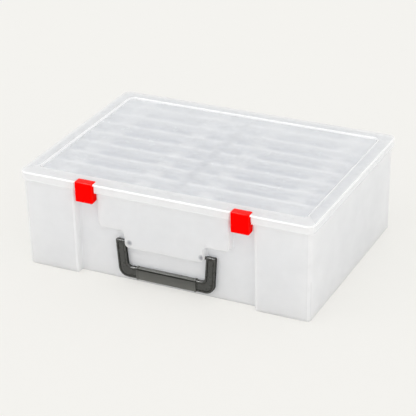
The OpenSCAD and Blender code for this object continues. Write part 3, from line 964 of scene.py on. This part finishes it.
def build_cases():
    """Sixteen trays and covers, each at the place of its CAD node."""
    for kind, shape in zip(("tray", "cover"), case_meshes()):
        for i in range(1, CASES + 1):
            node = f"case_{kind}_{i:02d}"
            low, high = box_mm(node)
            parting = low.y if kind == "tray" else high.y
            piece = new_object(f"inner_{kind}_{i:02d}", shape.data)
            piece.location = Vector(((low.x + high.x) / 2, parting, low.z)) * MM
            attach(piece, "root")
            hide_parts(node)
        bpy.data.objects.remove(shape)


def dress_pins():
    """The steel pins keep their CAD meshes."""
    for node in ("latch_pin_left", "latch_pin_right", "hinge_pin_left", "hinge_pin_right"):
        pin = frame["nodes"][node]
        pin.data.materials.clear()
        pin.data.materials.append(STEEL)


build_body()
build_lid()
build_latch("latch_left", -1)
build_latch("latch_right", 1)
build_bail()
build_grip()
build_cases()
dress_pins()


# ---- stage ----

BACKDROP = (0.905, 0.896, 0.863)
FLOOR_COLOUR = (0.845, 0.836, 0.805)
DOME = 0.96
SHADOW_SHARE = 0.37
SUNS = [("soft_key", 0.31, (-0.55, -0.70, 0.65)), ("soft_fill", 0.46, (0.80, -0.45, 0.40))]
SUN_SPREAD_DEG = 60
GLINT = 58.0
GLINT_PLACE = (-0.70, -0.85, 1.45)
GLINT_SIZE = 0.8
FLOOR_REACH = 6000
FLOOR_DEPTH = 20


def build_floor():
    """Pale floor. The camera sees its plain colour, with a share of the real shading laid over it."""
    g = Graph("studio_floor")
    grain = g.noise(40.0, 4.0, 0.6)
    colour = g.colours(g.spread(grain, 0, 1), FLOOR_COLOUR, [c * 0.995 for c in FLOOR_COLOUR])
    paper = g.add("ShaderNodeBsdfDiffuse", {"Color": colour}).outputs[0]
    plain = g.add("ShaderNodeEmission", {"Color": (*BACKDROP, 1), "Strength": 1.0}).outputs[0]
    seen = g.add("ShaderNodeLightPath").outputs["Is Camera Ray"]
    share = g.math("MULTIPLY", seen, 1 - SHADOW_SHARE)
    material = g.finish(g.add("ShaderNodeMixShader", {0: share, 1: paper, 2: plain}).outputs[0])
    square = rectangle((-FLOOR_REACH, -FLOOR_REACH), (FLOOR_REACH, FLOOR_REACH))
    floor = make_object("studio_floor", prism(square, 0, "z", -FLOOR_DEPTH, 0))
    floor.data.materials.append(material)
    floor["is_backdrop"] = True


def build_world():
    """Even white light for the object, and the backdrop's colour in views, gloss and see-through."""
    world = bpy.data.worlds.new("studio")
    bpy.context.scene.world = world
    world.use_nodes = True
    tree = world.node_tree
    tree.nodes.clear()
    path = tree.nodes.new("ShaderNodeLightPath")
    seen = None
    for ray in ("Is Camera Ray", "Is Glossy Ray", "Is Transmission Ray"):
        if seen is None:
            seen = path.outputs[ray]
            continue
        both = tree.nodes.new("ShaderNodeMath")
        both.operation = "MAXIMUM"
        tree.links.new(seen, both.inputs[0])
        tree.links.new(path.outputs[ray], both.inputs[1])
        seen = both.outputs[0]
    light = tree.nodes.new("ShaderNodeBackground")
    light.inputs["Color"].default_value = (1.0, 1.0, 1.0, 1)
    light.inputs["Strength"].default_value = DOME
    backdrop = tree.nodes.new("ShaderNodeBackground")
    backdrop.inputs["Color"].default_value = (*BACKDROP, 1)
    mix = tree.nodes.new("ShaderNodeMixShader")
    out = tree.nodes.new("ShaderNodeOutputWorld")
    tree.links.new(seen, mix.inputs[0])
    tree.links.new(light.outputs[0], mix.inputs[1])
    tree.links.new(backdrop.outputs[0], mix.inputs[2])
    tree.links.new(mix.outputs[0], out.inputs["Surface"])


def add_lamp(name, kind, energy, direction):
    """A lamp that shines from a direction towards the object."""
    data = bpy.data.lights.new(name, kind)
    data.energy = energy
    lamp = new_object(name, data)
    lamp.rotation_euler = Vector(direction).to_track_quat("Z", "Y").to_euler()
    return lamp


def build_lamps():
    """Two broad suns, and a gloss-only lamp for the small lights on the edges."""
    for name, energy, direction in SUNS:
        add_lamp(name, "SUN", energy, direction).data.angle = math.radians(SUN_SPREAD_DEG)
    glint = add_lamp("edge_glint", "AREA", GLINT, GLINT_PLACE)
    glint.location = GLINT_PLACE
    glint.data.size = GLINT_SIZE
    glint.visible_diffuse = False
    glint.visible_transmission = False


# ---- camera, at the photograph's viewing angle ----

CAM_AZIMUTH = 26.034
CAM_ELEVATION = 26.312
CAM_ROLL = -1.230
CAM_DISTANCE = 1840.13
CAM_TARGET = (71.395, -157.658, 136.431)
CAM_LENS = 141.82


def build_camera():
    """Camera fitted to the photograph's straight edges."""
    data = bpy.data.cameras.new("camera")
    data.lens = CAM_LENS
    data.sensor_width = 36.0
    data.clip_end = 50.0
    camera = new_object("camera", data)
    turn, rise = math.radians(CAM_AZIMUTH), math.radians(CAM_ELEVATION)
    back = Vector((math.sin(turn) * math.cos(rise), -math.cos(turn) * math.cos(rise), math.sin(rise)))
    right = (-back).cross(Vector((0, 0, 1))).normalized()
    up = right.cross(-back)
    roll = math.radians(CAM_ROLL)
    axis_x = right * math.cos(roll) + up * math.sin(roll)
    axis_y = up * math.cos(roll) - right * math.sin(roll)
    place = (Vector(CAM_TARGET) + back * CAM_DISTANCE) * MM
    turned = Matrix((axis_x, axis_y, back)).transposed().to_4x4()
    camera.matrix_world = Matrix.Translation(place) @ turned
    bpy.context.scene.camera = camera


build_floor()
build_world()
build_lamps()
build_camera()
bpy.context.scene.view_settings.view_transform = "Standard"
# The view and the light pass many thin walls.
cycles = bpy.context.scene.cycles
cycles.transparent_max_bounces = 64
cycles.diffuse_bounces = 16
cycles.max_bounces = 24
cycles.transmission_bounces = 16

low_high = {"cad_box": CAD_BOX, "visual_box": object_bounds()}
plain = {key: [list(corner) for corner in value] for key, value in low_high.items()}
